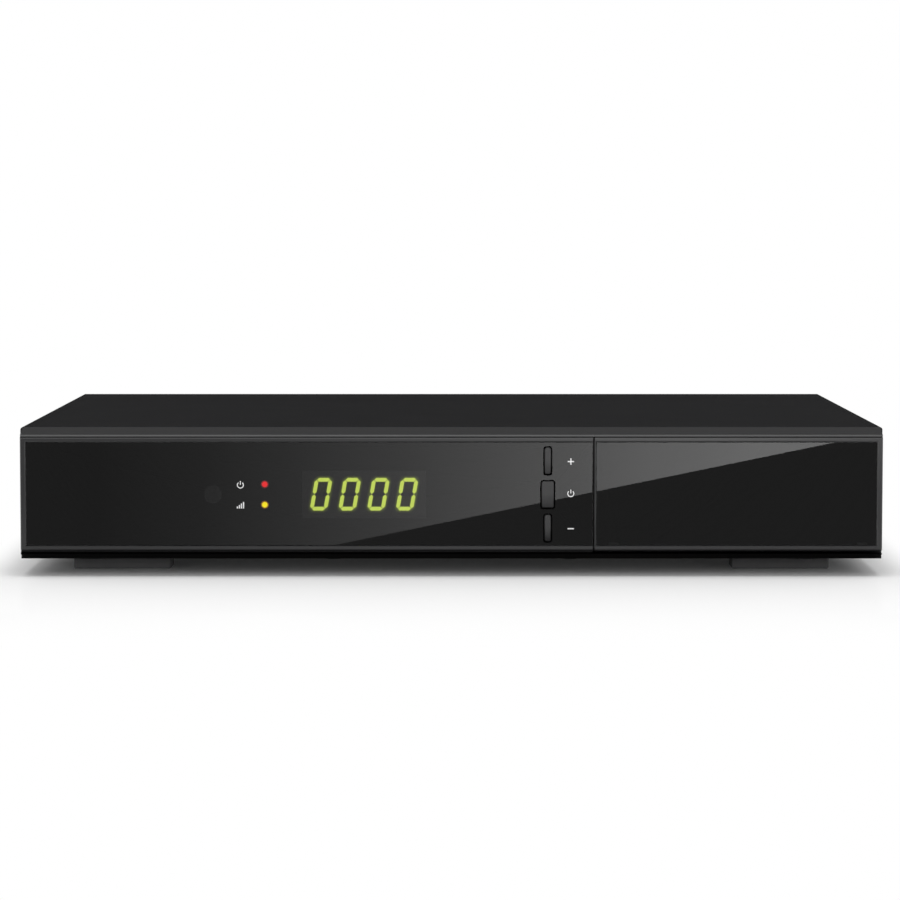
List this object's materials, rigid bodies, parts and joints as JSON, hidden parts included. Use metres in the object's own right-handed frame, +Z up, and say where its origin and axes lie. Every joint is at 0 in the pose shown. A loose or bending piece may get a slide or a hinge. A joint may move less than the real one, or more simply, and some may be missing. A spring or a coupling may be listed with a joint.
{
  "type": "satellite television receiver",
  "caption": "Flat black set-top satellite receiver: front keys, lit digit display, drop-down flap over a card bay, steel cover, and a rear panel of sockets with a mains rocker switch.",
  "frame": {"origin": "on the surface the receiver stands on, under the middle of its overall box", "axes": "+X to the right along the front, +Y to the back, +Z up; the fascia faces -Y"},
  "size_m": [0.2612, 0.1958, 0.045],
  "materials": {
    "board_green": "green solder mask",
    "cable_brown": "dark insulation",
    "cable_grey": "grey flat cable",
    "can_steel": "tinned steel",
    "capacitor_sleeve": "dark blue sleeve",
    "chassis_steel": "galvanised steel, dull",
    "contact_gold": "gold plated",
    "cover_paint": "black powder coat, fine texture",
    "display_black": "matt black",
    "ferrite": "dark ferrite and yellow tape",
    "foot_rubber": "dark grey rubber, matt",
    "front_plastic": "black ABS with a fine satin texture",
    "infrared_lens": "dark infrared resin",
    "insulator_white": "white plastic",
    "jack_red": "red plastic",
    "jack_white": "white plastic",
    "jack_yellow": "yellow plastic",
    "key_plastic": "black, semi gloss",
    "led_red": "clear red resin, lit",
    "led_yellow": "clear yellow resin, lit",
    "part_black": "moulded black plastic",
    "pin_steel": "bright drawn steel",
    "screw_black": "black oxide",
    "screw_zinc": "zinc plated",
    "segment_dark": "unlit smoked resin",
    "segment_lit": "lit yellow-green",
    "sink_aluminium": "plain extruded",
    "socket_nickel": "bright nickel plate",
    "window_acrylic": "smoked black acrylic, polished"
  },
  "bodies": {
    "case": {"av_block": "part_black", "av_insert_audio_left": "jack_white", "av_insert_audio_right": "jack_red", "av_insert_video": "jack_yellow", "av_jack_shells": "socket_nickel", "base_chassis": "chassis_steel", "bezel_screws": "screw_zinc", "board_capacitors": "capacitor_sleeve", "board_chips": "part_black", "board_screws": "screw_zinc", "board_standoffs": "pin_steel", "card_contacts": "contact_gold", "card_reader": "part_black", "cover_screws": "screw_black", "display_case": "display_black", "display_centre_segments": "segment_dark", "display_outer_segments": "segment_lit", "foot_front_left": "foot_rubber", "foot_front_right": "foot_rubber", "foot_rear_left": "foot_rubber", "foot_rear_right": "foot_rubber", "front_bezel": "front_plastic", "front_board": "board_green", "front_window": "window_acrylic", "hdmi_socket": "socket_nickel", "ir_receiver": "infrared_lens", "key_switch_bodies": "part_black", "lan_contacts": "contact_gold", "lan_socket": "part_black", "lnb_insulators": "insulator_white", "lnb_sockets": "socket_nickel", "main_board": "board_green", "mains_inlet": "part_black", "mains_inlet_pins": "socket_nickel", "mains_switch_body": "part_black", "optical_socket": "part_black", "power_board": "board_green", "power_capacitors": "capacitor_sleeve", "power_choke": "ferrite", "power_harness": "cable_brown", "power_heat_sink": "sink_aluminium", "power_led": "led_red", "power_transformer": "ferrite", "processor_heat_sink": "sink_aluminium", "ribbon_cable": "cable_grey", "ribbon_sockets": "insulator_white", "scart_insert": "part_black", "scart_socket": "socket_nickel", "signal_led": "led_yellow", "socket_tongues": "part_black", "top_cover": "cover_paint", "tuner_can": "can_steel", "usb_socket": "socket_nickel"},
    "door": {"front_door": "front_plastic", "door_window": "window_acrylic", "door_hinge_pins": "pin_steel"},
    "power_button": {"power_button": "key_plastic"},
    "channel_up_button": {"channel_up_button": "key_plastic"},
    "channel_down_button": {"channel_down_button": "key_plastic"},
    "mains_rocker": {"mains_rocker": "key_plastic"}
  },
  "joints": [
    {"name": "flap_hinge", "type": "hinge", "parent": "case", "child": "door", "pos_m": [0.0865, -0.09575, 0.0093], "axis": [1, 0, 0], "range_deg": [0, 90]},
    {"name": "power_button_press", "type": "slide", "parent": "case", "child": "power_button", "axis": [0, 1, 0], "range_m": [0, 0.0005], "stiffness_N_per_m": 800, "springref_m": -0.0006},
    {"name": "channel_up_button_press", "type": "slide", "parent": "case", "child": "channel_up_button", "axis": [0, 1, 0], "range_m": [0, 0.0005], "stiffness_N_per_m": 800, "springref_m": -0.0006},
    {"name": "channel_down_button_press", "type": "slide", "parent": "case", "child": "channel_down_button", "axis": [0, 1, 0], "range_m": [0, 0.0005], "stiffness_N_per_m": 800, "springref_m": -0.0006},
    {"name": "mains_rocker_tip", "type": "hinge", "parent": "case", "child": "mains_rocker", "pos_m": [-0.0903, 0.08425, 0.024], "axis": [-1, 0, 0], "range_deg": [0, 20]}
  ]
}
